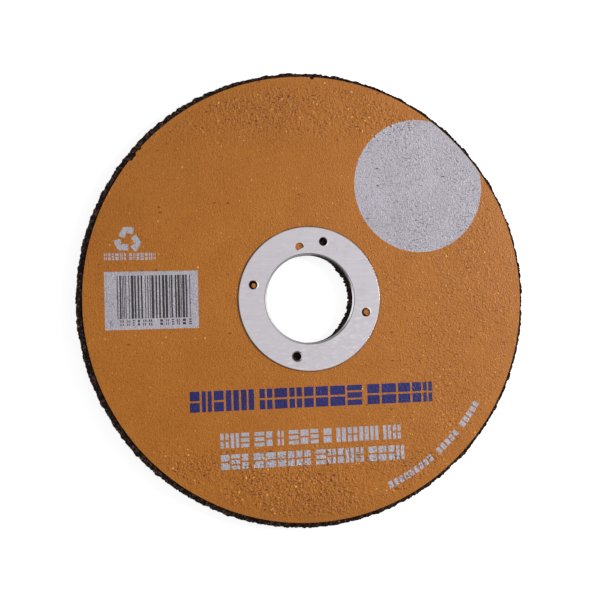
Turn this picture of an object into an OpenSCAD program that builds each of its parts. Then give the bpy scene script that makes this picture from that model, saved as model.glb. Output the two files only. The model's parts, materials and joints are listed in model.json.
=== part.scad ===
// Cut off wheel for an angle grinder: a thin disc of resin-bonded abrasive with a
// printed paper label on its face and a pressed steel ring round its bore.
// The wheel lies on its back with the label up, and the Z axis is the bore's axis.
// X is the reading direction of the print. Lengths are in millimetres.

/* [Wheel] */
// Outer diameter of the abrasive disc
wheel_d = 115; // [75:0.5:230]
// Thickness of the abrasive disc
wheel_t = 3; // [0.8:0.1:4]
// Diameter of the bore
bore_d = 22.2; // [19:0.1:25.4]

/* [Label] */
// Thickness of the paper label
label_t = 0.12; // [0.08:0.01:0.3]
// Bare abrasive that a label pasted true would leave all round
label_margin = 1.3; // [0.6:0.1:6]
// How far the label is pasted to the right of the bore's axis
label_off_x = 0.45; // [-0.5:0.05:0.5]
// How far the label is pasted above the bore's axis
label_off_y = 0.15; // [-0.2:0.05:0.2]
// Gap between the hole in the paper and the ring's bend
label_hole_gap = 0.3; // [0.1:0.1:1]
// Where the wide chip in the label's edge is
wide_chip_angle = 142.5; // [0:0.5:359.5]
// Radius of the wide chip's curve
wide_chip_r = 1.8; // [0.4:0.1:3]
// Depth of the wide chip
wide_chip_depth = 0.4; // [0.2:0.05:0.8]
// Where the narrow chip in the label's edge is
narrow_chip_angle = 90; // [0:0.5:359.5]
// Radius of the narrow chip's curve
narrow_chip_r = 0.4; // [0.2:0.1:2]
// Depth of the narrow chip
narrow_chip_depth = 0.6; // [0.2:0.05:0.8]

/* [Centre ring] */
// Outer diameter of the ring's flange
ring_d = 36.3; // [34:0.1:44]
// Thickness of the ring's steel sheet
sheet_t = 0.3; // [0.2:0.05:0.5]
// Inside radius of the bend from the flange down into the bore
bend_inside_r = 0.2; // [0.1:0.05:0.3]
// Straight length of the collar below the bend
collar_l = 0.3; // [0.1:0.05:0.4]
// Rounding of the flange's blanked edge
flange_edge_r = 0.12; // [0.05:0.01:0.18]
// Gap round all that is pressed into the abrasive disc
press_gap = 0.03; // [0.02:0.01:0.1]

/* [Stakes] */
// Number of holes punched through the flange
stake_count = 4; // [2:2:6]
// Angle of the first hole
stake_turn = 77; // [0:1:359]
// Diameter of each hole
stake_d = 2; // [1:0.1:2.4]
// Sheet at the root of the lip that the punch turned down round each hole
lip_root = 0.25; // [0.15:0.05:0.4]
// Sheet at the tip of that lip
lip_tip = 0.08; // [0.05:0.01:0.12]
// How far each lip bites into the abrasive disc
lip_bite = 0.3; // [0.1:0.05:0.5]
// Depth and width of the drawn-in edge at the mouth of each hole
mouth_draw = 0.12; // [0.05:0.01:0.18]

/* [Odd hole] */
// Angle of the D-shaped hole next to the first stake
odd_angle = 102; // [0:1:359]
// Diameter of its round side
odd_d = 2.2; // [1:0.1:2.4]
// Distance of its centre from the inner edge of the flat flange
odd_inset = 1.7; // [1.3:0.1:4]
// Distance of its straight side from its centre
odd_flat = 0.55; // [0:0.05:0.8]
// Direction in which its straight side faces
odd_flat_turn = -62; // [-180:1:180]

/* [Hidden] */
// Facets round the wheel, and round its small features
$fn = 144;
small_fn = 32;
// How far a cut runs past the surface that it opens
cut = 1;

wheel_r = wheel_d / 2;
bore_r = bore_d / 2;
label_r = wheel_r - label_margin;

// Outside of the collar, and the circle where its bend runs out into the flat flange
collar_r = bore_r + sheet_t;
flat_r = collar_r + bend_inside_r;
flange_r = ring_d / 2;

// Heights above the back of the wheel
flange_z = wheel_t + label_t;
top_z = flange_z + sheet_t;
bend_z = flange_z - bend_inside_r;
collar_z = bend_z - collar_l;
lip_z = wheel_t - lip_bite;

// The stakes stand midway across the flat of the flange
stake_ring_r = (flat_r + flange_r) / 2;
stake_r = stake_d / 2;

// Repeats its children at each stake. Under every other stake the label has torn out.
module at_stakes() {
    for (i = [0 : stake_count - 1]) {
        $fn = small_fn;
        $torn = i % 2 == 0;
        rotate([0, 0, stake_turn + i * 360 / stake_count])
            translate([stake_ring_r, 0, 0])
                children();
    }
}

// Room for one stake's lip, with a core left standing inside it where nothing tore
module lip_room(from_z, to_z) {
    translate([0, 0, from_z])
        difference() {
            cylinder(h = to_z - from_z, r = stake_r + lip_root + press_gap);
            if (!$torn)
                translate([0, 0, -cut])
                    cylinder(h = to_z - from_z + 2 * cut, r = stake_r - press_gap);
        }
}

// Stepped seat for the collar and the bend above it
module collar_seat() {
    seat_r = collar_r + press_gap;
    translate([0, 0, collar_z - press_gap])
        cylinder(h = top_z, r = seat_r);
    translate([0, 0, bend_z])
        cylinder(h = bend_inside_r, r1 = seat_r, r2 = seat_r + bend_inside_r);
}

// Half profile of the ring: collar, bend and flange with a rounded outer edge
module ring_profile() {
    edge_x = flange_r - flange_edge_r;
    edge_z = top_z - flange_edge_r;
    translate([bore_r, collar_z])
        square([sheet_t, collar_l]);
    intersection() {
        translate([flat_r, bend_z])
            difference() {
                circle(r = bend_inside_r + sheet_t, $fn = small_fn);
                circle(r = bend_inside_r, $fn = small_fn);
            }
        translate([bore_r, bend_z])
            square([flat_r - bore_r, top_z - bend_z]);
    }
    translate([flat_r, flange_z])
        square([edge_x - flat_r, sheet_t]);
    translate([edge_x, flange_z])
        square([flange_edge_r, edge_z - flange_z]);
    translate([edge_x, edge_z])
        circle(r = flange_edge_r, $fn = small_fn);
}

// Lip that a punch turned down round one hole
module stake_lip() {
    translate([0, 0, lip_z])
        cylinder(h = flange_z - lip_z, r1 = stake_r + lip_tip, r2 = stake_r + lip_root);
}

// The hole itself, with its drawn-in mouth
module stake_hole() {
    translate([0, 0, lip_z - cut])
        cylinder(h = top_z - lip_z + 2 * cut, r = stake_r);
    translate([0, 0, top_z - mouth_draw])
        cylinder(h = mouth_draw, r1 = stake_r, r2 = stake_r + mouth_draw);
}

// Round hole with one straight side, which leaves the label in sight
module odd_hole() {
    rotate([0, 0, odd_angle])
        translate([flat_r + odd_inset, 0, flange_z - cut])
            rotate([0, 0, odd_flat_turn - odd_angle])
                linear_extrude(height = sheet_t + 2 * cut)
                    difference() {
                        circle(d = odd_d, $fn = small_fn);
                        translate([odd_flat, -odd_d])
                            square(2 * odd_d);
                    }
}

// Round bite of this depth out of the label's edge
module label_chip(angle, r, depth) {
    rotate([0, 0, angle])
        translate([label_r + r - depth, 0, -cut])
            cylinder(h = label_t + 2 * cut, r = r, $fn = small_fn);
}

// Abrasive disc with its stepped bore and the sockets that the stakes have pressed
module abrasive_disc() {
    color([0.17, 0.14, 0.12])
        difference() {
            cylinder(h = wheel_t, r = wheel_r);
            translate([0, 0, -cut])
                cylinder(h = wheel_t + 2 * cut, r = bore_r);
            collar_seat();
            at_stakes()
                lip_room(lip_z - press_gap, wheel_t + cut);
        }
}

// Paper label: a round sheet pasted a little off centre, with a hole clear of the ring's bend
module paper_label() {
    color([0.66, 0.42, 0.19])
        difference() {
            translate([label_off_x, label_off_y, wheel_t])
                difference() {
                    cylinder(h = label_t, r = label_r);
                    label_chip(wide_chip_angle, wide_chip_r, wide_chip_depth);
                    label_chip(narrow_chip_angle, narrow_chip_r, narrow_chip_depth);
                }
            translate([0, 0, wheel_t - cut])
                cylinder(h = label_t + 2 * cut, r = flat_r + label_hole_gap);
            at_stakes()
                lip_room(wheel_t - cut, flange_z + cut);
        }
}

// Pressed steel ring that lies on the label and is staked through it
module centre_ring() {
    color([0.78, 0.77, 0.79])
        difference() {
            union() {
                rotate_extrude()
                    ring_profile();
                at_stakes()
                    stake_lip();
            }
            at_stakes()
                stake_hole();
            odd_hole();
        }
}

abrasive_disc();
paper_label();
centre_ring();
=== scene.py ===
"""Cut off wheel lying on a pale floor: a rough abrasive disc, its printed paper label
and the pressed steel ring round its bore. Lengths are in millimetres up to the meshes."""

import json
import math
import random

import bmesh
import bpy
from mathutils import Matrix, Vector, noise
from mathutils.geometry import delaunay_2d_cdt


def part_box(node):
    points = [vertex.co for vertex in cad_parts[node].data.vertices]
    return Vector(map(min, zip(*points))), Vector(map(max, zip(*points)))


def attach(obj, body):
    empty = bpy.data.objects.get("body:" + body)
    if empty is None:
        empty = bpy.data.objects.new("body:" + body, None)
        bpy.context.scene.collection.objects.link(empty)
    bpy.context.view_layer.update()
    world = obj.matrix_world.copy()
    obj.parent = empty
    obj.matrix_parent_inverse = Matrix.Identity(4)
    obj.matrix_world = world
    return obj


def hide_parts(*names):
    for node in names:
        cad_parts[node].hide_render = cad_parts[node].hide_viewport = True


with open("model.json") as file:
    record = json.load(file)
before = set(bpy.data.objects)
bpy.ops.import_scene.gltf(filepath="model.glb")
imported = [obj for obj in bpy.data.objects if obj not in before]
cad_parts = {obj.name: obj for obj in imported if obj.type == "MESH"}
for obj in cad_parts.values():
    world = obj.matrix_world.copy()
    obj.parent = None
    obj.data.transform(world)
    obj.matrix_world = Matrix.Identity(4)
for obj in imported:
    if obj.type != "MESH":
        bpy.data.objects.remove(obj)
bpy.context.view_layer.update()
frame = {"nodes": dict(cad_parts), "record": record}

MM = 0.001
BODY = "root"
FULL_TURN = 2 * math.pi

# Sizes of the three solids, read from the frame
_, disc_high = (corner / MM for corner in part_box("abrasive_disc"))
paper_low, paper_high = (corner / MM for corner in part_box("paper_label"))
ring_low, ring_high = (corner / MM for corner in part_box("centre_ring"))
mounts = {m["name"]: m for m in frame["record"]["mounts"]}

WHEEL_R = disc_high.x
WHEEL_T = disc_high.z
BORE_R = mounts["bore"]["dims"]["r_mm"]
RING_R = ring_high.x
COLLAR_END = ring_low.z
PAPER_TOP = paper_high.z
PAPER_R = (paper_high.y - paper_low.y) / 2
PAPER_X = (paper_high.x + paper_low.x) / 2
PAPER_Y = (paper_high.y + paper_low.y) / 2

# The ring's sheet, the hole in the paper and the stakes, as the solids have them
SHEET_T = 0.3
BEND_R = 0.2
FLAT_R = BORE_R + SHEET_T + BEND_R
PAPER_HOLE_GAP = 0.3
PAPER_HOLE_R = FLAT_R + PAPER_HOLE_GAP
STAKE_RING_R = (FLAT_R + RING_R) / 2
STAKE_TURN = math.radians(77)
STAKE_ROOM_R = 1.28


def srgb(red, green, blue):
    """Linear colour of a tone written as it looks, from 0 to 255."""
    def linear(value):
        part = value / 255
        return part / 12.92 if part <= 0.04045 else ((part + 0.055) / 1.055) ** 2.4
    return (linear(red), linear(green), linear(blue), 1.0)


# Rough surfaces

# Grains: the crease between two, the least height of one, and the step that sets neighbours apart
CREASE_WIDTH = 0.3
CREASE_DEPTH = 0.35
LEAST_GRAIN = 0.25
GRAIN_STEP = 31.7

# Grain layers: place in the noise, stretch along the axis, size of the grains, share of the height
RIM_GRAINS = ((0, 1.0, 1.5, 0.6), (40, 1.0, 0.6, 0.4))
MARGIN_GRAINS = ((5, 0.0, 1.2, 0.6), (15, 0.0, 0.6, 0.4))
BORE_GRAINS = ((70, 0.35, 0.9, 0.75), (90, 0.5, 0.45, 0.25))
BACK_GRAINS = ((25, 0.0, 0.9, 1.0),)
PAPER_GRAINS = ((60, 0.0, 1.0, 0.5), (80, 0.0, 0.75, 0.5))

# Glass mesh: its yarns' distance, width and direction, how far they wander over what length,
# and how far each dips where it goes under another
MESH_PITCH = 5.2
YARN_WIDTH = 1.9
MESH_TURN = math.radians(24)
YARN_WANDER = 0.35
WANDER_LENGTH = 14
YARN_DIP = 0.28


def smooth_step(low, high, value):
    """0 up to low and 1 from high on, with a soft turn between them."""
    part = min(1.0, max(0.0, (value - low) / (high - low)))
    return part * part * (3 - 2 * part)


def grain_lumps(x, y, z, size):
    """Height from 0 to 1 of chunky grains of about this size, with creases between them."""
    near, points = noise.voronoi(Vector((x, y, z)) / size)
    tone = 0.5 + 0.5 * noise.cell(points[0] * GRAIN_STEP)
    crease = 1 - smooth_step(0.0, CREASE_WIDTH, near[1] - near[0])
    return max(0.0, tone * (1 - LEAST_GRAIN) + LEAST_GRAIN - CREASE_DEPTH * crease)


def mixed_grains(x, y, z, layers):
    """Height from 0 to 1 of several layers of grains together."""
    return sum(
        share * grain_lumps(x, y, z * stretch + start, size)
        for start, stretch, size, share in layers
    )


def mesh_weave(x, y):
    """Height from 0 to 1 of a plain weave of flat yarns."""
    c = math.cos(MESH_TURN)
    s = math.sin(MESH_TURN)
    u = x * c + y * s + YARN_WANDER * noise.noise(Vector((x, y, 3.0)) / WANDER_LENGTH)
    v = y * c - x * s + YARN_WANDER * noise.noise(Vector((x, y, 9.0)) / WANDER_LENGTH)
    heights = []
    for along, across in ((u, v), (v, u)):
        row = round(across / MESH_PITCH)
        off = abs(across - row * MESH_PITCH) / (YARN_WIDTH / 2)
        bulge = math.sqrt(max(0.0, 1 - off * off))
        lift = 1 - YARN_DIP + YARN_DIP * math.cos(math.pi * (along / MESH_PITCH + row))
        heights.append(bulge * lift)
    return max(heights)


# Abrasive disc

# Points round the disc at its rim and margin, and round the rest of it
RIM_STEPS = 1200
CORE_STEPS = 600

# Rows of points up the bore, over the bare margin, down the rim and across the back
BORE_ROWS = 10
MARGIN_ROWS = 9
RIM_ROWS = 12
BACK_ROWS = 78

# Deepest dips in rim, margin and back, the grit's share of the last, and how far the rim's rows
# stray up or down
RIM_ROUGH = 0.62
MARGIN_ROUGH = 0.2
BACK_DEPTH = 0.24
BACK_GRIT = 0.25
ROW_STRAY = 0.12
STRAY_LENGTH = 0.6

# Bare margin: where it starts, below the label, and the share of its width over which it rises
MARGIN_R = PAPER_R - 1.6
MARGIN_RISE = 0.25

# Heights of the disc below the label and below the ring, and the width of the slopes beside them
HIDDEN_Z = WHEEL_T - 0.16
SOCKET_Z = WHEEL_T - 0.34
HIDDEN_SLOPE = 1

# Seat of the ring's collar, and how far the back's rows keep off the rim and the bore
SEAT_R = BORE_R + SHEET_T + 0.04
SEAT_Z = COLLAR_END - 0.03
BACK_OUTER_R = WHEEL_R - 0.35
BACK_FIRST_R = WHEEL_R - 0.8
BACK_LAST_R = BORE_R + 0.25

# Bore's wall: set back all round, with a lean inwards and longer teeth low down on one side
BORE_SET_BACK = 0.04
BORE_LEAN = 0.32
BORE_TEETH = 0.08
SIDE_TEETH = 0.62
TOOTHED_SIDE = math.radians(4)
TOOTHED_SPREAD = (0.35, 0.85)


def rim_inset(angle, z):
    """How far the rough rim falls short of the wheel's full radius."""
    x = WHEEL_R * math.cos(angle)
    y = WHEEL_R * math.sin(angle)
    return RIM_ROUGH * (1 - mixed_grains(x, y, z, RIM_GRAINS))


def bore_inset(angle, z):
    """How far the rough bore wall stands off its own radius: less than nothing is a tooth."""
    x = BORE_R * math.cos(angle)
    y = BORE_R * math.sin(angle)
    grains = mixed_grains(x, y, z, BORE_GRAINS)
    low_down = 1 - z / COLLAR_END
    side = smooth_step(*TOOTHED_SPREAD, math.cos(angle - TOOTHED_SIDE)) * low_down
    return BORE_SET_BACK - BORE_LEAN * side - grains * (BORE_TEETH + SIDE_TEETH * side)


def disc_rings():
    """Rings of the disc's skin in order round its section: kind, radius, height and points."""
    rings = [("bore", BORE_R, SEAT_Z * i / BORE_ROWS, CORE_STEPS) for i in range(BORE_ROWS + 1)]
    hidden = (
        (SEAT_R, SEAT_Z),
        (SEAT_R, SOCKET_Z),
        (RING_R - HIDDEN_SLOPE, SOCKET_Z),
        (RING_R, HIDDEN_Z),
        (MARGIN_R - HIDDEN_SLOPE, HIDDEN_Z),
    )
    rings += [("plain", r, z, CORE_STEPS) for r, z in hidden]
    for i in range(MARGIN_ROWS):
        r = MARGIN_R + (WHEEL_R - MARGIN_R) * (i / MARGIN_ROWS)
        rings.append(("margin", r, WHEEL_T, RIM_STEPS))
    for i in range(RIM_ROWS + 1):
        rings.append(("rim", WHEEL_R, WHEEL_T * (1 - i / RIM_ROWS), RIM_STEPS))
    rings.append(("back", BACK_OUTER_R, 0, RIM_STEPS))
    for i in range(BACK_ROWS + 1):
        r = BACK_FIRST_R + (BACK_LAST_R - BACK_FIRST_R) * i / BACK_ROWS
        rings.append(("back", r, 0, CORE_STEPS))
    return rings


def disc_point(kind, r, z, angle):
    """One point of the disc's skin, roughened as that part of it is."""
    c = math.cos(angle)
    s = math.sin(angle)
    if kind == "bore":
        r += bore_inset(angle, z)
    elif kind == "rim":
        r -= rim_inset(angle, z)
        if 0 < z < WHEEL_T:
            z += ROW_STRAY * noise.noise(Vector((r * c, r * s, z)) / STRAY_LENGTH)
            z = min(WHEEL_T, max(0.0, z))
    elif kind == "margin":
        share = (r - MARGIN_R) / (WHEEL_R - MARGIN_R)
        r -= rim_inset(angle, WHEEL_T) * share * share
        dip = MARGIN_ROUGH * (1 - mixed_grains(r * c, r * s, z, MARGIN_GRAINS))
        z = HIDDEN_Z + (WHEEL_T - HIDDEN_Z) * smooth_step(0, MARGIN_RISE, share) - dip
    elif kind == "back":
        grit = mixed_grains(r * c, r * s, z, BACK_GRAINS)
        z = BACK_DEPTH * (1 - mesh_weave(r * c, r * s)) * (1 - BACK_GRIT * grit)
    return Vector((r * c, r * s, z)) * MM


def join_rings(mesh, one, two):
    """Faces between two rings of points, of which one may have twice the points of the other."""
    if len(one) == len(two):
        count = len(one)
        for i in range(count):
            j = (i + 1) % count
            mesh.faces.new((one[i], one[j], two[j], two[i]))
        return
    few, many = (one, two) if len(one) < len(two) else (two, one)
    count = len(few)
    for i in range(count):
        j = (i + 1) % count
        start, middle, end = many[2 * i], many[2 * i + 1], many[(2 * i + 2) % len(many)]
        mesh.faces.new((few[i], start, middle))
        mesh.faces.new((few[i], middle, few[j]))
        mesh.faces.new((few[j], middle, end))


def abrasive_disc():
    """Closed skin of the disc, ring by ring round its section."""
    mesh = bmesh.new()
    rings = []
    for kind, r, z, count in disc_rings():
        angles = (FULL_TURN * i / count for i in range(count))
        rings.append([mesh.verts.new(disc_point(kind, r, z, a)) for a in angles])
    for i, ring in enumerate(rings):
        join_rings(mesh, ring, rings[(i + 1) % len(rings)])
    bmesh.ops.recalc_face_normals(mesh, faces=mesh.faces)
    return mesh


# Printed label

PAPER, PALE_INK, BLUE_INK, BLACK_INK = range(4)
PAPER_UNDERSIDE = WHEEL_T - 0.04

# Points round the label's edge, its hole, the room for a stake and a scrap of paper
EDGE_POINTS = 1760
HOLE_POINTS = 96
STAKE_POINTS = 32
SCRAP_POINTS = 28

# Points over the label: their distance, that of their rows, and how far they run under the ring
# and keep off the label's edge
DOT_PITCH = 0.36
DOT_ROW_PITCH = 0.866 * DOT_PITCH
DOTS_UNDER_RING = 0.6
DOTS_OFF_EDGE = 0.45

# Triangles of the flat sheet: only those inside an outline, and points this near count as one
KEEP_INSIDE = 1
MERGE_WITHIN = 1e-6

# Bands where the label lies over proud grains: where each starts and where it is full
TOP_BAND = (35, 48)
BOTTOM_BAND = (-33, -46)
SIDE_BAND = (10, 34)
BAND_OFF_EDGE = (0.9, 2.6)

# How the top and side bands compare with the bottom one, in the paper's height and in its wear
TOP_HEIGHT = 0.6
SIDE_HEIGHT = 0.32
TOP_WEAR = 0.75
SIDE_WEAR = 0.36

# Paper's lumps: height everywhere, what the bands add, level that counts as flat, length of a patch
LUMP_HEIGHT = 0.03
BAND_HEIGHT = 0.24
FLAT_LEVEL = 0.35
PATCH_LENGTH = 11

# Broad waves of the paper, and how far the ring's edge presses it flat on both sides of that edge
WAVE_HEIGHT = 0.02
WAVE_LENGTH = 18
PRESSED_INSIDE = 0.3
PRESSED_OUTSIDE = 2.0

# Label's edge: set back, fray and the length of one fray
EDGE_SET_BACK = 0.03
FRAY_DEPTH = 0.03
FRAY_LENGTH = 0.9

# Chips in the label's edge and one long trim: angle about its centre, radius of the curve, depth
PAPER_CHIPS = [
    (math.radians(142.5), 1.8, 0.4),
    (math.radians(143.1), 0.6, 0.55),
    (math.radians(141.9), 0.55, 0.5),
    (math.radians(139.8), 0.5, 0.4),
    (math.radians(90), 0.46, 0.64),
    (math.radians(46), 1200.0, 0.17),
]

# Scrap of paper left in each stake: its place off the stake's axis and its radius, then the share
# of a radius by which its edge is ragged
PAPER_SCRAPS = [None, (0.2, -0.12, 0.6), None, (0.3, 0.06, 0.86)]
SCRAP_RAGGED = 0.25

# How the print is turned on the wheel, and how far it keeps off the label's edge
PRINT_TURN = math.radians(1.65)
PRINT_OFF_EDGE = 0.21

# Pale circle: middle, radius and points. Pale panel: left and low edge, width and height
PALE_CIRCLE = (29.55, 28.6, 17.2, 160)
PALE_PANEL = (-50.5, -6.5, 22.5, 14.1)

# Loop of arrows: middle, distance of the band from it, half width of the band and of a head, then
# the lengths of tail and neck in that distance, and of the head in its half width
LOOP_SIGN = (-44.7, 15.25, 1.72, 0.76, 1.2)
LOOP_TAIL = 1.8
LOOP_NECK = 0.65
LOOP_HEAD = 1.05

# Rows of blocks: left, right and low edge, height, blocks in each group, gap, slot, seed
PALE_ROWS = [
    (-50.4, -38.15, 10.4, 1.7, (6, 7), 0.3, 0.2, 5),
    (-23.5, 22.65, -36.3, 3.6, (3, 2, 1, 3, 1, 4, 2), 0.5, 0.42, 3),
    (-23.5, 23.45, -41.6, 3.7, (3, 6, 5, 4), 0.5, 0.42, 4),
]
BLUE_ROW = (-30.75, 31.45, -27.2, 5.1, (5, 7, 5), 0.52, 0.46, 2)
BLACK_ROW = (-49.3, -29.75, -5.55, 1.4, (1, 6, 6), 0.75, 0.25, 6)

# All those rows: space between groups in gaps, blocks' widths, and slots across and up a block
GROUP_SPACE = 2.6
BLOCK_WIDTHS = (0.75, 1.0, 1.0, 1.2)
BLOCK_SLOTS = ((2, 0), (1, 0), (1, 0), (0, 1), (1, 1))

# Row along the rim: inner radius, angles of its ends, height and blocks in each group, then the half
# width of a block in steps of the row
CURVED_ROW = (50.8, math.radians(-68.5), math.radians(-32.5), 1.75, (9, 5, 5))
CURVED_BLOCK_HALF = 0.36

# Upright bars: left and low edge, width, height and seed, then the units in that width, and in
# units the widths of bars and gaps and what stays free at the end
UPRIGHT_BARS = (-47.5, -3.85, 18.55, 10.45, 8)
BAR_UNITS = 95
BAR_WIDTHS = (1, 1, 1, 2, 2, 3)
BAR_GAPS = (1, 1, 2, 2, 3)
BAR_END_UNITS = 4


def paper_relief(x, y):
    """Height of the paper over the grains and the mesh below it, proud at top, bottom and right."""
    pressed = smooth_step(RING_R - PRESSED_INSIDE, RING_R + PRESSED_OUTSIDE, math.hypot(x, y))
    inside = smooth_step(*BAND_OFF_EDGE, PAPER_R - math.hypot(x - PAPER_X, y - PAPER_Y))
    top = TOP_HEIGHT * smooth_step(*TOP_BAND, y)
    side = SIDE_HEIGHT * smooth_step(*SIDE_BAND, x)
    proud = max(top, smooth_step(*BOTTOM_BAND, y), side)
    patch = smooth_step(-0.45, 0.35, noise.noise(Vector((x * 0.6, y * 1.3, 2.0)) / PATCH_LENGTH))
    depth = LUMP_HEIGHT + BAND_HEIGHT * proud * patch * inside
    lumps = mixed_grains(x, y, 0, PAPER_GRAINS) - FLAT_LEVEL
    broad = noise.noise(Vector((x, y, 11.0)) / WAVE_LENGTH)
    return pressed * (depth * lumps + WAVE_HEIGHT * broad)


def circle_points(x, y, r, count):
    angles = [FULL_TURN * i / count for i in range(count)]
    return [(x + r * math.cos(angle), y + r * math.sin(angle)) for angle in angles]


def paper_edge():
    """The label's outer edge, a little frayed and with its chips."""
    points = []
    for i in range(EDGE_POINTS):
        angle = FULL_TURN * i / EDGE_POINTS
        x = math.cos(angle)
        y = math.sin(angle)
        fray = FRAY_DEPTH * noise.noise(Vector((x, y, 0.3)) * PAPER_R / FRAY_LENGTH)
        r = PAPER_R - EDGE_SET_BACK - fray
        for chip_angle, chip_r, depth in PAPER_CHIPS:
            away = PAPER_R * ((angle - chip_angle + math.pi) % FULL_TURN - math.pi)
            if abs(away) < chip_r:
                r = min(r, PAPER_R - depth + chip_r - math.sqrt(chip_r * chip_r - away * away))
        points.append((PAPER_X + r * x, PAPER_Y + r * y))
    return points


def rectangle(left, low, width, height):
    return [(left, low), (left + width, low), (left + width, low + height), (left, low + height)]


def slotted_block(left, low, width, height, slot, across, up):
    """Block cut by even slots across it and up it."""
    bar_h = (height - slot * across) / (across + 1)
    bar_w = (width - slot * up) / (up + 1)
    return [
        rectangle(left + i * (bar_w + slot), low + j * (bar_h + slot), bar_w, bar_h)
        for i in range(up + 1)
        for j in range(across + 1)
    ]


def block_row(left, right, low, height, groups, gap, slot, seed):
    """Row of slotted blocks in groups, which fills the width from left to right."""
    draw = random.Random(seed)
    space = GROUP_SPACE * gap
    weights = [[draw.choice(BLOCK_WIDTHS) for _ in range(count)] for count in groups]
    free = right - left - gap * (sum(groups) - len(groups)) - space * (len(groups) - 1)
    unit = free / sum(sum(group) for group in weights)
    blocks = []
    x = left
    for group in weights:
        for weight in group:
            across, up = draw.choice(BLOCK_SLOTS)
            blocks += slotted_block(x, low, unit * weight, height, slot, across, up)
            x += unit * weight + gap
        x += space - gap
    return blocks


def arc_row(r, start, end, height, groups):
    """Row of small blocks that follows the rim."""
    step = (end - start) / (sum(groups) + len(groups) - 1)
    half = step * CURVED_BLOCK_HALF
    corners = ((r, -half), (r + height, -half), (r + height, half), (r, half))
    blocks = []
    place = 0
    for count in groups:
        for _ in range(count):
            mid = start + step * (place + 0.5)
            blocks.append([(a * math.cos(mid + b), a * math.sin(mid + b)) for a, b in corners])
            place += 1
        place += 1
    return blocks


def loop_arrows(x, y, inner, half, head):
    """Three bent arrows that chase each other round a triangle."""
    arrows = []
    centre = Vector((x, y))
    quarter_back = Matrix.Rotation(math.radians(-90), 2)
    for k in range(3):
        angle = math.radians(90 + 120 * k)
        out = Vector((math.cos(angle), math.sin(angle)))
        corner = out * 2 * inner
        side_one = Matrix.Rotation(math.radians(60), 2) @ out
        side_two = Matrix.Rotation(math.radians(-60), 2) @ out
        way_one = quarter_back @ side_one
        way_two = quarter_back @ side_two
        tail = corner - way_one * inner * LOOP_TAIL
        neck = corner + way_two * inner * LOOP_NECK
        points = [
            tail - side_one * half,
            corner * (1 - half / inner),
            neck - side_two * half,
            neck - side_two * head,
            neck + way_two * head * LOOP_HEAD,
            neck + side_two * head,
            neck + side_two * half,
            corner + side_two * half + way_two * half,
            corner + side_one * half - way_one * half,
            tail + side_one * half,
        ]
        arrows.append([tuple(centre + p) for p in points])
    return arrows


def upright_bars(left, low, width, height, seed):
    """Made-up upright bars of mixed widths."""
    draw = random.Random(seed)
    unit = width / BAR_UNITS
    bars = []
    x = left
    while x < left + width - BAR_END_UNITS * unit:
        wide = draw.choice(BAR_WIDTHS) * unit
        bars.append(rectangle(x, low, wide, height))
        x += wide + draw.choice(BAR_GAPS) * unit
    return bars


def turned(points):
    """Points of the print, turned as the label is pasted."""
    c = math.cos(PRINT_TURN)
    s = math.sin(PRINT_TURN)
    return [(x * c - y * s, x * s + y * c) for x, y in points]


def within_paper(points):
    """Points pulled back inside the label's edge."""
    limit = PAPER_R - PRINT_OFF_EDGE
    kept = []
    for x, y in points:
        away = Vector((x - PAPER_X, y - PAPER_Y))
        if away.length > limit:
            away *= limit / away.length
        kept.append((PAPER_X + away.x, PAPER_Y + away.y))
    return kept


def print_outlines():
    """Every inked shape as (ink, outline). A later ink lies over an earlier one."""
    pale = [circle_points(*PALE_CIRCLE), rectangle(*PALE_PANEL)]
    pale += loop_arrows(*LOOP_SIGN)
    for row in PALE_ROWS:
        pale += block_row(*row)
    pale += arc_row(*CURVED_ROW)
    blue = block_row(*BLUE_ROW)
    black = upright_bars(*UPRIGHT_BARS) + block_row(*BLACK_ROW)
    outlines = []
    for ink, shapes in ((PALE_INK, pale), (BLUE_INK, blue), (BLACK_INK, black)):
        outlines += [(ink, within_paper(turned(shape))) for shape in shapes]
    return outlines


def stake_places():
    """Centre of each stake, and the scrap of paper left in it."""
    for i, scrap in enumerate(PAPER_SCRAPS):
        angle = STAKE_TURN + i * FULL_TURN / len(PAPER_SCRAPS)
        yield STAKE_RING_R * math.cos(angle), STAKE_RING_R * math.sin(angle), scrap


def torn_scrap(x, y, r):
    """Small ragged round of paper."""
    points = []
    for i in range(SCRAP_POINTS):
        angle = FULL_TURN * i / SCRAP_POINTS
        c = math.cos(angle)
        s = math.sin(angle)
        ragged = r * (1 + SCRAP_RAGGED * noise.noise(Vector((c * 2 + x, s * 2 + y, 0.5))))
        points.append((x + ragged * c, y + ragged * s))
    return points


def paper_dots():
    """Even scatter of points over the part of the label that shows."""
    rows = int(PAPER_R / DOT_ROW_PITCH) + 1
    columns = int(PAPER_R / DOT_PITCH) + 1
    for row in range(-rows, rows + 1):
        for column in range(-columns, columns + 1):
            x = (column + 0.5 * (row % 2)) * DOT_PITCH
            y = row * DOT_ROW_PITCH
            off_ring = math.hypot(x, y) > RING_R - DOTS_UNDER_RING
            if off_ring and math.hypot(x - PAPER_X, y - PAPER_Y) < PAPER_R - DOTS_OFF_EDGE:
                yield x, y


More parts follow.
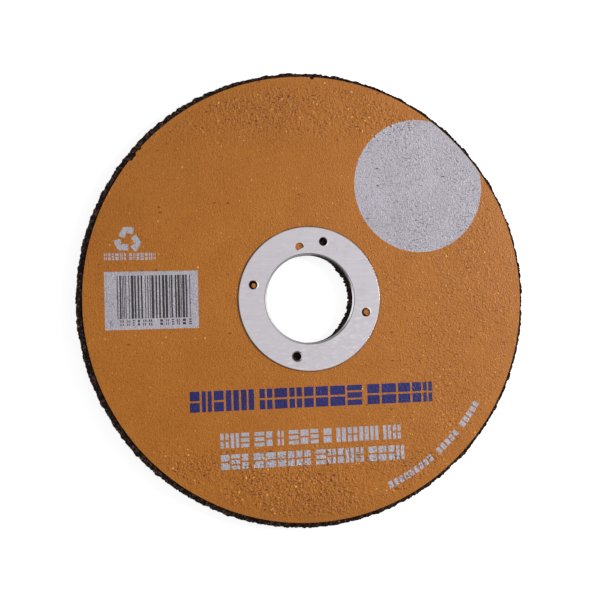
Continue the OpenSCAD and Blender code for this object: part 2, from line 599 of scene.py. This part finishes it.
def paper_label():
    """Closed sheet whose printed shapes are faces of their own."""
    loops = [paper_edge(), circle_points(0, 0, PAPER_HOLE_R, HOLE_POINTS)]
    gaps = {1}
    scraps = set()
    for x, y, scrap in stake_places():
        gaps.add(len(loops))
        loops.append(circle_points(x, y, STAKE_ROOM_R, STAKE_POINTS))
        if scrap:
            scraps.add(len(loops))
            loops.append(torn_scrap(x + scrap[0], y + scrap[1], scrap[2]))
    edge_loops = len(loops)
    inks = {}
    for ink, outline in print_outlines():
        inks[len(loops)] = ink
        loops.append(outline)

    def is_paper(inside):
        return 0 in inside and (not inside & gaps or inside & scraps)

    def flat_faces(outlines, extra):
        """Flat triangles of the sheet, each with the outlines it lies in, and the sheet's rims."""
        points = [p for outline in outlines for p in outline] + extra
        starts = [0]
        for outline in outlines:
            starts.append(starts[-1] + len(outline))
        areas = [list(range(a, b)) for a, b in zip(starts, starts[1:])]
        corners, _, faces, corner_sources, _, face_sources = delaunay_2d_cdt(
            [Vector(p) for p in points], [], areas, KEEP_INSIDE, MERGE_WITHIN
        )
        kept = [
            (face, set(inside)) for face, inside in zip(faces, face_sources) if is_paper(set(inside))
        ]
        place_of = {source: i for i, sources in enumerate(corner_sources) for source in sources}
        rims = [[place_of[i] for i in area] for area in areas[:edge_loops]]
        return corners, kept, rims

    mesh = bmesh.new()
    top_points, top_faces, top_rims = flat_faces(loops, list(paper_dots()))
    top = [mesh.verts.new((p.x, p.y, PAPER_TOP + paper_relief(p.x, p.y))) for p in top_points]
    for corners, inside in top_faces:
        face = mesh.faces.new([top[i] for i in corners])
        face.smooth = True
        face.material_index = max([inks[i] for i in inside if i in inks], default=PAPER)
    low_points, low_faces, low_rims = flat_faces(loops[:edge_loops], [])
    low = [mesh.verts.new((p.x, p.y, PAPER_UNDERSIDE)) for p in low_points]
    for corners, _ in low_faces:
        mesh.faces.new([low[i] for i in reversed(corners)])
    for upper, lower in zip(top_rims, low_rims):
        for i in range(len(upper)):
            j = (i + 1) % len(upper)
            mesh.faces.new((top[upper[i]], low[lower[i]], low[lower[j]], top[upper[j]]))
            mesh.edges.get((top[upper[i]], top[upper[j]])).smooth = False
    loose = [v for v in mesh.verts if not v.link_faces]
    bmesh.ops.delete(mesh, geom=loose, context="VERTS")
    bmesh.ops.recalc_face_normals(mesh, faces=mesh.faces)
    bmesh.ops.scale(mesh, vec=(MM, MM, MM), verts=mesh.verts)
    return mesh


# Shader node groups

FLOAT = "NodeSocketFloat"
VECTOR = "NodeSocketVector"


class Nodes:
    """Short way to place and link shader nodes in one tree."""

    def __init__(self, tree):
        self.tree = tree

    def fill(self, socket, value):
        """Link the socket to another one, or give it this value."""
        if isinstance(value, bpy.types.NodeSocket):
            self.tree.links.new(value, socket)
        else:
            socket.default_value = value

    def set(self, node, name, value):
        self.fill(node.inputs[name], value)

    def add(self, kind, settings=None, **inputs):
        """New node with its settings, and with inputs by name."""
        node = self.tree.nodes.new(kind)
        for name, value in (settings or {}).items():
            setattr(node, name, value)
        for name, value in inputs.items():
            self.set(node, name.replace("_", " "), value)
        return node

    def in_order(self, kind, settings, values):
        """Outputs of a new node whose inputs take these values in order."""
        node = self.add(kind, settings)
        for socket, value in zip(node.inputs, values):
            self.fill(socket, value)
        return node.outputs

    def math(self, operation, *values, clamp=False):
        return self.in_order("ShaderNodeMath", {"operation": operation, "use_clamp": clamp}, values)[0]

    def vectors(self, operation, *values, result="Vector"):
        return self.in_order("ShaderNodeVectorMath", {"operation": operation}, values)[result]

    def times(self, first, *others):
        for other in others:
            first = self.math("MULTIPLY", first, other)
        return first

    def most(self, first, *others):
        for other in others:
            first = self.math("MAXIMUM", first, other)
        return first

    def scaled(self, value, by, plus):
        return self.math("MULTIPLY_ADD", value, by, plus)

    def blend(self, factor, a, b):
        """Colour between two others."""
        node = self.add("ShaderNodeMix", {"data_type": "RGBA"})
        sockets = {socket.identifier: socket for socket in node.inputs}
        for name, value in (("Factor_Float", factor), ("A_Color", a), ("B_Color", b)):
            self.fill(sockets[name], value)
        return next(s for s in node.outputs if s.identifier == "Result_Color")

    def ramp(self, value, low, high):
        """Value brought to 0 below low and 1 above high, with a soft turn."""
        node = self.add("ShaderNodeMapRange", {"interpolation_type": "SMOOTHSTEP"}, Value=value)
        self.set(node, "From Min", low)
        self.set(node, "From Max", high)
        return node.outputs["Result"]

    def parts(self, place):
        """The X, Y and Z of a place."""
        return self.add("ShaderNodeSeparateXYZ", Vector=place).outputs

    def place(self):
        """Place on the object in millimetres."""
        where = self.add("ShaderNodeTexCoord").outputs["Object"]
        scaled = self.add("ShaderNodeVectorMath", {"operation": "SCALE"}, Vector=where, Scale=1 / MM)
        return scaled.outputs["Vector"]

    def stretched(self, place, scale, turn=0.0):
        """The place stretched, which draws a texture out into strokes, then turned about the axis."""
        mapping = self.add("ShaderNodeMapping", Vector=place, Rotation=(0.0, 0.0, turn), Scale=scale)
        return mapping.outputs["Vector"]

    def noise(self, place, size, detail=3.0, roughness=0.55):
        settings = {"Scale": 1 / size, "Detail": detail, "Roughness": roughness}
        return self.add("ShaderNodeTexNoise", Vector=place, **settings).outputs["Fac"]

    def flat(self, place):
        """The place with its height left out."""
        return self.vectors("MULTIPLY", place, (1.0, 1.0, 0.0))

    def distance(self, flat, x, y):
        """Distance of a flat place from one point."""
        return self.vectors("DISTANCE", flat, (x, y, 0.0), result="Value")

    def towards(self, place, side):
        """How far a place lies out in one direction."""
        return self.vectors("DOT_PRODUCT", place, side, result="Value")

    def use(self, group, place, **inputs):
        """Outputs of one use of a node group at this place, with its own values."""
        return self.add("ShaderNodeGroup", {"node_tree": group}, Place=place, **inputs).outputs


def new_group(name, inputs, outputs):
    """Node group with a place and these values as inputs, and plain numbers as outputs."""
    tree = bpy.data.node_groups.new(name, "ShaderNodeTree")
    tree.interface.new_socket("Place", in_out="INPUT", socket_type=VECTOR)
    for label, value in inputs.items():
        tree.interface.new_socket(label, in_out="INPUT", socket_type=FLOAT).default_value = value
    for label in outputs:
        tree.interface.new_socket(label, in_out="OUTPUT", socket_type=FLOAT)
    given = tree.nodes.new("NodeGroupInput").outputs
    return tree, Nodes(tree), given, tree.nodes.new("NodeGroupOutput")


def random_cells(n, place, spacing):
    """Cells scattered at this spacing: the distance from the nearest one, and its random tint."""
    fineness = n.math("DIVIDE", 1.0, spacing)
    cells = n.add("ShaderNodeTexVoronoi", Vector=place, Scale=fineness).outputs
    tint = n.add("ShaderNodeSeparateColor", Color=cells["Color"]).outputs
    return cells["Distance"], tint


def grit_group():
    """Height and tone of packed grains of a given size, in millimetres."""
    tree, n, given, out = new_group("packed_grit", {"Grain": 0.8}, ("Height", "Tone"))
    away, tint = random_cells(n, given["Place"], given["Grain"])
    dome = n.ramp(away, 0.75, 0.1)
    n.set(out, "Height", n.times(dome, n.scaled(tint["Red"], 0.6, 0.4)))
    n.set(out, "Tone", tint["Green"])
    return tree


def fleck_group():
    """Mask of scattered flecks: their spacing in millimetres, their size and how many show."""
    values = {"Spacing": 1.5, "Size": 0.2, "Share": 0.5}
    tree, n, given, out = new_group("scattered_flecks", values, ("Mask",))
    away, tint = random_cells(n, given["Place"], given["Spacing"])
    inside = n.math("LESS_THAN", away, n.times(given["Size"], tint["Green"]))
    chosen = n.math("LESS_THAN", tint["Red"], given["Share"])
    n.set(out, "Mask", n.times(inside, chosen))
    return tree


def raised_bands(n, place):
    """Mask of the bands at top, bottom and right where the label lies over proud grains."""
    part = n.parts(place)
    top = n.times(n.ramp(part["Y"], *TOP_BAND), TOP_WEAR)
    bottom = n.ramp(part["Y"], *BOTTOM_BAND)
    side = n.times(n.ramp(part["X"], *SIDE_BAND), SIDE_WEAR)
    away = n.vectors("LENGTH", place, result="Value")
    inside = n.ramp(away, PAPER_R - BAND_OFF_EDGE[0], PAPER_R - BAND_OFF_EDGE[1])
    patch = n.ramp(n.noise(place, 13.0, detail=2.0), 0.3, 0.55)
    return n.times(n.most(top, bottom, side), inside, patch)


def shade_by_ring(n, place):
    """Mask of painted shade on the label against the ring's edge."""
    away = n.distance(n.flat(place), 0, 0)
    outer = n.ramp(away, RING_R + 0.45, RING_R + 0.1)
    inner = n.ramp(away, RING_R - 0.6, RING_R - 0.2)
    patchy = n.times(n.ramp(n.noise(place, 3.0), 0.25, 0.6), 0.7)
    return n.times(outer, inner, patchy)


def paper_edge_shade(n, place):
    """Mask of painted shade on the paper towards the label's upper left and bottom edges."""
    upper_left = n.ramp(n.towards(place, (-0.6, 0.8, 0.0)), 22, 56)
    bottom = n.ramp(n.parts(place)["Y"], -46, -56)
    return n.times(n.most(upper_left, bottom), 0.11)


def paper_group(grit, flecks):
    """Wear and texture that the label's bare paper and its inks share, with painted glints and painted
    shade.
    """
    tree, n, given, out = new_group(
        "paper_wear_and_painted_light",
        {"Pit Share": 0.5, "Glint Share": 0.2},
        ("Cloud", "Fibre", "Pits", "Glints", "Shade", "Roughness", "Height"),
    )
    place = given["Place"]
    raised = raised_bands(n, place)
    n.set(out, "Cloud", n.ramp(n.noise(place, 9.0, roughness=0.6), 0.3, 0.7))
    fibre = n.noise(place, 0.3, roughness=0.7)
    n.set(out, "Fibre", n.times(n.ramp(fibre, 0.42, 0.7), 0.3))

    # Dark pits in short dashes, thick on the raised bands, and a few strays
    dashes = n.stretched(place, (0.6, 1.5, 1.0))
    marks = n.noise(dashes, 0.5, detail=2.0, roughness=0.6)
    pits = n.ramp(n.scaled(given["Pit Share"], 0.12, marks), 0.64, 0.73)
    pits = n.math("MULTIPLY", pits, n.scaled(raised, 1.0, 0.3), clamp=True)
    stray_pits = n.use(flecks, dashes, Spacing=2.1, Size=0.15, Share=0.3)["Mask"]
    n.set(out, "Pits", n.most(pits, n.times(stray_pits, 0.8)))

    # Painted glints, highlights put into the colour, also thickest on the raised bands
    glints = n.use(flecks, place, Spacing=0.9, Size=0.28, Share=given["Glint Share"])["Mask"]
    glints = n.times(glints, n.scaled(raised, 0.5, 0.25))
    stray_glints = n.use(flecks, place, Spacing=1.9, Size=0.13, Share=0.16)["Mask"]
    n.set(out, "Glints", n.most(glints, n.times(stray_glints, 0.65)))

    # Painted shade against the ring's edge and towards the upper left and bottom
    n.set(out, "Shade", n.most(shade_by_ring(n, place), paper_edge_shade(n, place)))
    n.set(out, "Roughness", n.scaled(n.noise(place, 2.0), 0.25, 0.36))
    coarse = n.use(grit, place, Grain=0.75)["Height"]
    fine = n.use(grit, place, Grain=0.38)["Height"]
    lumps = n.times(coarse, n.scaled(raised, 0.75, 0.12))
    grains = n.times(fine, n.scaled(raised, 0.3, 0.32))
    n.set(out, "Height", n.math("ADD", n.math("ADD", lumps, grains), n.times(fibre, 0.35)))
    return tree


GRIT = grit_group()
FLECKS = fleck_group()
PAPER_WEAR_AND_LIGHT = paper_group(GRIT, FLECKS)


# Materials

# Abrasive: dark and light resin, its grains, a few bright grains with painted glints, and the yarns on
# its back
RESIN_TONES = (srgb(15, 10, 9), srgb(28, 20, 17))
GRAIN_TONE = srgb(64, 47, 41)
GRAIN_GLINT_TONE = srgb(150, 120, 96)
YARN_TONE = srgb(78, 64, 50)

# Paper and inks: name, two tones that it varies between, tones of pits and of painted glints, and
# their shares
INKS = [
    ("label_paper", (159, 95, 22), (165, 100, 28), (88, 36, 3), (232, 178, 96), 0.5, 0.22),
    ("pale_ink", (163, 158, 166), (171, 166, 175), (44, 40, 44), (226, 222, 228), 0.6, 0.14),
    ("blue_ink", (20, 20, 82), (28, 28, 94), (10, 8, 34), (90, 88, 150), 0.4, 0.2),
    ("black_ink", (30, 26, 28), (42, 38, 40), (78, 70, 72), (120, 114, 118), 0.2, 0.1),
]
# Painted shade on the paper against the ring's edge and towards the upper left and bottom
PAPER_SHADE_TONE = srgb(58, 34, 18)

# Steel ring: its sheet, then what marks it, then painted highlights and painted shade
STEEL_TONES = (srgb(189, 184, 189), srgb(192, 187, 192))
STAIN_TONE = srgb(140, 132, 134)
SPECK_TONE = srgb(120, 104, 96)
SCUFF_TONE = srgb(226, 223, 226)
# Rust, which also lies on the stakes' walls as painted shade
RUST_AND_SHADE_TONE = srgb(56, 36, 25)
# Painted highlight, painted shade along the bend, deep painted shade and painted shade at the outer
# edge
HIGHLIGHT_TONE = srgb(250, 248, 250)
BEND_SHADE_TONE = srgb(70, 66, 68)
DEEP_SHADE_TONE = srgb(18, 16, 16)
OUTER_EDGE_SHADE_TONE = srgb(96, 90, 92)

# Steel round each stake: reach of its rust, which also paints shade on the stake's walls, then place
# of a painted highlight on its lip and that highlight's strength
STAKE_MARKS = [
    (1.12, (0.36, -0.14), 0.9),
    (1.12, (0.5, 0.0), 1.0),
    (1.38, (0.45, 0.0), 0.6),
    (1.12, (0.5, 0.3), 0.6),
]

# Directions from the bore's axis to the part of the ring that is scuffed most, and to the part
# of its bend with the deepest painted shade, and the turn of the scuffs' texture
SCUFFED_SIDE = (0.5, -0.87, 0.0)
DEEPLY_SHADED_SIDE = (0.64, 0.77, 0.0)
SCUFF_TURN = math.radians(-35)


def new_material(name):
    material = bpy.data.materials.new(name)
    material.use_nodes = True
    n = Nodes(material.node_tree)
    shader = material.node_tree.nodes["Principled BSDF"]
    return material, n, shader


def bump(n, shader, height, strength, distance):
    node = n.add("ShaderNodeBump", Height=height, Strength=strength, Distance=distance * MM)
    n.set(shader, "Normal", node.outputs["Normal"])


def abrasive_material():
    """Alumina grain in dark resin."""
    material, n, shader = new_material("abrasive")
    place = n.place()
    coarse = n.use(GRIT, place, Grain=0.44)
    fine = n.use(GRIT, place, Grain=0.22)
    resin = n.blend(n.noise(place, 6.0), *RESIN_TONES)
    colour = n.blend(n.ramp(coarse["Tone"], 0.55, 0.95), resin, GRAIN_TONE)
    # A few bright grains, lighter in tone and with their glints painted in
    grain_glints = n.use(FLECKS, place, Spacing=0.5, Size=0.3, Share=0.06)["Mask"]
    colour = n.blend(n.times(grain_glints, 0.7), colour, GRAIN_GLINT_TONE)
    yarns = n.ramp(n.parts(place)["Z"], BACK_DEPTH * 0.6, BACK_DEPTH * 0.15)
    colour = n.blend(n.times(yarns, 0.55), colour, YARN_TONE)
    n.set(shader, "Base Color", colour)
    n.set(shader, "Roughness", n.scaled(coarse["Tone"], -0.3, 0.9))
    shader.inputs["Specular IOR Level"].default_value = 0.04
    relief = n.math("ADD", coarse["Height"], n.times(fine["Height"], 0.5))
    bump(n, shader, relief, strength=0.8, distance=0.12)
    return material


def printed_paper(name, tone, tone_two, pit_tone, glint_tone, pit_share, glint_share):
    """Semi-gloss label paper, or an ink on it."""
    material, n, shader = new_material(name)
    wear_and_light = n.use(PAPER_WEAR_AND_LIGHT, n.place(), Pit_Share=pit_share, Glint_Share=glint_share)
    colour = n.blend(wear_and_light["Cloud"], tone, tone_two)
    colour = n.blend(wear_and_light["Fibre"], colour, pit_tone)
    colour = n.blend(wear_and_light["Pits"], colour, pit_tone)
    # Painted highlights where the glints are
    colour = n.blend(wear_and_light["Glints"], colour, glint_tone)
    # Painted shade against the ring's edge and towards the upper left and bottom
    colour = n.blend(wear_and_light["Shade"], colour, PAPER_SHADE_TONE)
    n.set(shader, "Base Color", colour)
    n.set(shader, "Roughness", wear_and_light["Roughness"])
    shader.inputs["Specular IOR Level"].default_value = 0.25
    bump(n, shader, wear_and_light["Height"], strength=1.0, distance=0.19)
    return material


def sheet_marks(n, place):
    """Masks of the stains, specks and scuffs on the ring's sheet."""
    stains = n.ramp(n.noise(place, 4.0, detail=4.0, roughness=0.6), 0.52, 0.72)
    specks = n.use(FLECKS, place, Spacing=1.6, Size=0.1, Share=0.25)["Mask"]
    strokes = n.stretched(place, (0.45, 1.3, 1.0), SCUFF_TURN)
    scuffs = n.ramp(n.noise(strokes, 0.9, detail=4.0, roughness=0.75), 0.48, 0.72)
    scuffed = n.scaled(n.ramp(n.towards(place, SCUFFED_SIDE), 4, 12), 0.3, 0.16)
    return stains, specks, n.times(scuffs, scuffed)


def stake_marks(n, place):
    """Masks of the rust in and round the stakes, which also paints shade on their walls, and of a
    painted highlight on one side of each stake's lip.
    """
    flat = n.flat(place)
    ragged = n.scaled(n.noise(place, 0.5, roughness=0.7), 0.5, -0.25)
    rust_and_shade = lip_highlight = 0.0
    for (x, y, _), (reach, (lip_x, lip_y), strength) in zip(stake_places(), STAKE_MARKS):
        away = n.distance(flat, x, y)
        # Rust round the stake, which also covers its walls as painted shade
        stake_rust_and_shade = n.ramp(n.math("ADD", away, ragged), reach + 0.12, reach - 0.12)
        rust_and_shade = n.most(stake_rust_and_shade, rust_and_shade)
        # Painted highlight on one side of the lip
        inside = n.ramp(n.distance(flat, x + lip_x, y + lip_y), 1.0, 0.8)
        wear_and_light = n.times(inside, n.ramp(away, 1.04, 1.16))
        lip_highlight = n.most(n.times(wear_and_light, strength), lip_highlight)
    return rust_and_shade, lip_highlight


def bend_marks(n, place):
    """Masks of painted shade along the ring's bend, a painted highlight on its right-hand part and
    deep painted shade on its upper right part.
    """
    part = n.parts(place)
    wider = n.times(n.ramp(part["X"], 2, -6), 0.12)
    away = n.distance(n.flat(place), 0, 0)
    from_bore = n.math("SUBTRACT", n.math("SUBTRACT", away, BORE_R), wider)
    # Painted shade over the inner part of the bend, away from its right-hand side
    shaded_bend = n.times(n.ramp(part["X"], 0.88 * BORE_R, 0.7 * BORE_R), 0.75)
    bend = n.most(n.ramp(from_bore, 0.12, 0.24), shaded_bend)
    # Painted shade in a dark band along the bend
    crease = n.times(n.ramp(from_bore, 0.5, 0.38), bend)
    # Painted highlight on the bend's right-hand part
    right = n.ramp(part["X"], 0.85 * BORE_R, 0.95 * BORE_R)
    bend_highlight = n.times(right, n.ramp(from_bore, 0.32, 0.2))
    # Deep painted shade on the bend's upper right part
    upper_right = n.ramp(n.towards(place, DEEPLY_SHADED_SIDE), 0.72 * BORE_R, 0.9 * BORE_R)
    deep_bend_shade = n.times(upper_right, n.ramp(from_bore, 0.19, 0.09))
    return crease, bend_highlight, deep_bend_shade


def steel_material():
    """Bright pressed steel with faint rolling marks and what has marked it since, with painted
    highlights and painted shade.
    """
    material, n, shader = new_material("ring_steel")
    place = n.place()
    rolled = n.noise(n.stretched(place, (0.06, 1.6, 1.0)), 0.5, detail=4.0, roughness=0.6)
    colour = n.blend(n.ramp(rolled, 0.3, 0.7), *STEEL_TONES)
    stains, specks, scuffs = sheet_marks(n, place)
    rust_and_shade, lip_highlight = stake_marks(n, place)
    crease, bend_highlight, deep_bend_shade = bend_marks(n, place)
    # Painted shade along the ring's outer edge, which dims its highlight
    edge = n.ramp(n.distance(n.flat(place), 0, 0), RING_R - 0.22, RING_R - 0.08)
    # Stains, specks and scuffs are the steel's own marks, rust is partly painted shade, and the rest
    # are painted highlights and painted shade
    marks = (
        (stains, 0.14, STAIN_TONE),
        (specks, 0.5, SPECK_TONE),
        (scuffs, 1.0, SCUFF_TONE),
        (rust_and_shade, 0.85, RUST_AND_SHADE_TONE),
        (lip_highlight, 1.0, HIGHLIGHT_TONE),
        (crease, 0.75, BEND_SHADE_TONE),
        (bend_highlight, 0.9, HIGHLIGHT_TONE),
        (deep_bend_shade, 0.95, DEEP_SHADE_TONE),
        (edge, 0.5, OUTER_EDGE_SHADE_TONE),
    )
    for mask, strength, tone in marks:
        colour = n.blend(n.times(mask, strength), colour, tone)
    n.set(shader, "Base Color", colour)
    shader.inputs["Metallic"].default_value = 1.0
    n.set(shader, "Roughness", n.math("ADD", n.scaled(rolled, 0.08, 0.27), n.times(crease, 0.3)))
    bump(n, shader, rolled, strength=0.05, distance=0.02)
    return material


# Pieces on the frame


def add_piece(name, mesh, materials, node):
    data = bpy.data.meshes.new(name)
    mesh.to_mesh(data)
    mesh.free()
    for material in materials:
        data.materials.append(material)
    piece = bpy.data.objects.new(name, data)
    bpy.context.scene.collection.objects.link(piece)
    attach(piece, BODY)
    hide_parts(node)


label_materials = [
    printed_paper(name, *(srgb(*tone) for tone in tones), pit_share, glint_share)
    for name, *tones, pit_share, glint_share in INKS
]
add_piece("abrasive_body", abrasive_disc(), [abrasive_material()], "abrasive_disc")
add_piece("label_sheet", paper_label(), label_materials, "paper_label")

ring = frame["nodes"]["centre_ring"]
steel = steel_material()
for ring_slot in ring.material_slots:
    ring_slot.material = steel


# Floor, light and camera

# Floor: its width in metres, its tone, and how brightly it shows as the picture's backdrop
FLOOR_SIZE = 4.0
FLOOR_TONE = (0.35, 0.35, 0.35, 1.0)
FLOOR_GLOW = 0.82

# Light from all round, and one soft lamp: place and size in metres, and power in watts
WORLD_LEVEL = 0.53
LAMP_PLACE = (0.68, 0.18, 0.40)
LAMP_SIZE = 0.26
LAMP_POWER = 8.5

# Camera: its tilt from straight above, the side it stands on, its distance, lens and sensor, the
# nearest it sees in metres, and how far right and up of the picture's middle the wheel stands
CAMERA_TILT = math.radians(11)
CAMERA_SIDE = math.radians(189.3)
CAMERA_AWAY = 215.5
CAMERA_LENS = 50.6
CAMERA_SENSOR = 36
CAMERA_NEAR = 0.01
WHEEL_RIGHT = 1.96
WHEEL_UP = 0.22


def seen_directly(n):
    """1 for rays that show the backdrop itself, in the picture, in metal or in glass."""
    path = n.add("ShaderNodeLightPath").outputs
    return n.most(path["Is Camera Ray"], path["Is Glossy Ray"], path["Is Transmission Ray"])


def pale_floor():
    data = bpy.data.meshes.new("floor")
    half = FLOOR_SIZE / 2
    corners = [(-half, -half, 0), (half, -half, 0), (half, half, 0), (-half, half, 0)]
    data.from_pydata(corners, [], [(0, 1, 2, 3)])
    floor = bpy.data.objects.new("floor", data)
    bpy.context.scene.collection.objects.link(floor)
    material = bpy.data.materials.new("pale_floor")
    material.use_nodes = True
    tree = material.node_tree
    tree.nodes.remove(tree.nodes["Principled BSDF"])
    n = Nodes(tree)
    matt = n.add("ShaderNodeBsdfDiffuse", Color=FLOOR_TONE)
    glow = n.add("ShaderNodeEmission", Strength=n.times(seen_directly(n), FLOOR_GLOW))
    both = n.in_order("ShaderNodeAddShader", None, (matt.outputs[0], glow.outputs[0]))
    n.set(tree.nodes["Material Output"], "Surface", both[0])
    data.materials.append(material)


def white_world():
    world = bpy.data.worlds.new("studio")
    world.use_nodes = True
    n = Nodes(world.node_tree)
    background = world.node_tree.nodes["Background"]
    background.inputs["Color"].default_value = (1.0, 1.0, 1.0, 1.0)
    n.set(background, "Strength", n.scaled(seen_directly(n), 1 - WORLD_LEVEL, WORLD_LEVEL))
    bpy.context.scene.world = world


def soft_lamp():
    data = bpy.data.lights.new("key_lamp", "AREA")
    data.size = LAMP_SIZE
    data.energy = LAMP_POWER
    lamp = bpy.data.objects.new("key_lamp", data)
    lamp.location = LAMP_PLACE
    lamp.rotation_euler = (-Vector(LAMP_PLACE)).to_track_quat("-Z", "Y").to_euler()
    bpy.context.scene.collection.objects.link(lamp)


def photo_camera():
    """Camera above the label, tilted towards its left edge."""
    back = Vector((
        math.sin(CAMERA_TILT) * math.cos(CAMERA_SIDE),
        math.sin(CAMERA_TILT) * math.sin(CAMERA_SIDE),
        math.cos(CAMERA_TILT),
    ))
    right = Vector((0, 1, 0)).cross(back).normalized()
    up = back.cross(right)
    spot = (back * CAMERA_AWAY - right * WHEEL_RIGHT - up * WHEEL_UP) * MM
    data = bpy.data.cameras.new("camera")
    data.sensor_width = CAMERA_SENSOR
    data.lens = CAMERA_LENS
    data.clip_start = CAMERA_NEAR
    camera = bpy.data.objects.new("camera", data)
    turn = Matrix((right, up, back)).transposed().to_4x4()
    camera.matrix_world = Matrix.Translation(spot) @ turn
    bpy.context.scene.collection.objects.link(camera)
    bpy.context.scene.camera = camera


pale_floor()
white_world()
soft_lamp()
photo_camera()
bpy.context.scene.view_settings.view_transform = "Standard"
